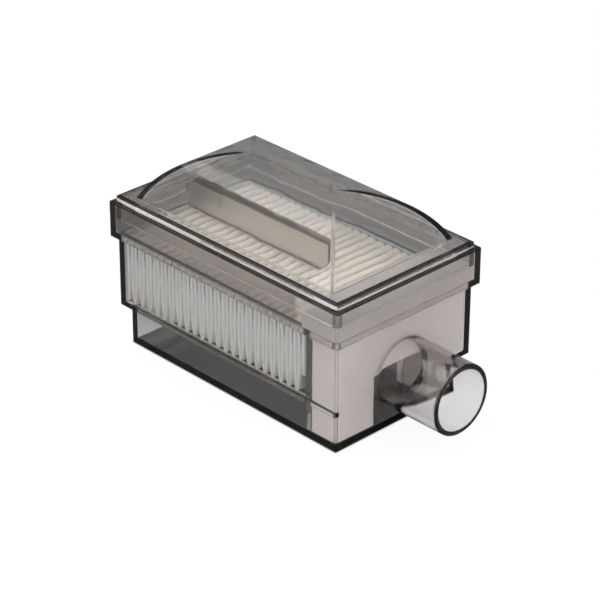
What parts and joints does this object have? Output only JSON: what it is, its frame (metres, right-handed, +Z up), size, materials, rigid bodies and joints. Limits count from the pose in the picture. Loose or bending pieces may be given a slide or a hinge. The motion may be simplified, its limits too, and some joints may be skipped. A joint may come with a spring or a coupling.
{
  "type": "oxygen concentrator filter",
  "caption": "Smoke-clear plastic filter box with a domed lid, a pleated paper pack inside, a stepped base and a round outlet tube on one short end.",
  "frame": {"origin": "centre of the bounding box at its bottom, on the plane the base stands on", "axes": "+X along the length towards the outlet tube's mouth, +Y across towards the long side with the step, +Z up"},
  "size_m": [0.1178, 0.0588, 0.0636],
  "materials": {
    "housing_plastic": "clear smoke-grey moulded plastic, polished",
    "hood_plastic": "clear smoke-grey moulded plastic, polished",
    "lid_plastic": "clear smoke-grey moulded plastic, polished",
    "filter_paper": "cream, soft and thick folded filter sheet",
    "adhesive": "hot-melt adhesive, translucent white",
    "felt": "white felt, slightly pink"
  },
  "bodies": {
    "root": {"housing": "housing_plastic", "outlet_hood": "hood_plastic", "lid": "lid_plastic", "pleated_pack": "filter_paper", "pack_seal": "adhesive", "outlet_felt": "felt"}
  },
  "joints": []
}
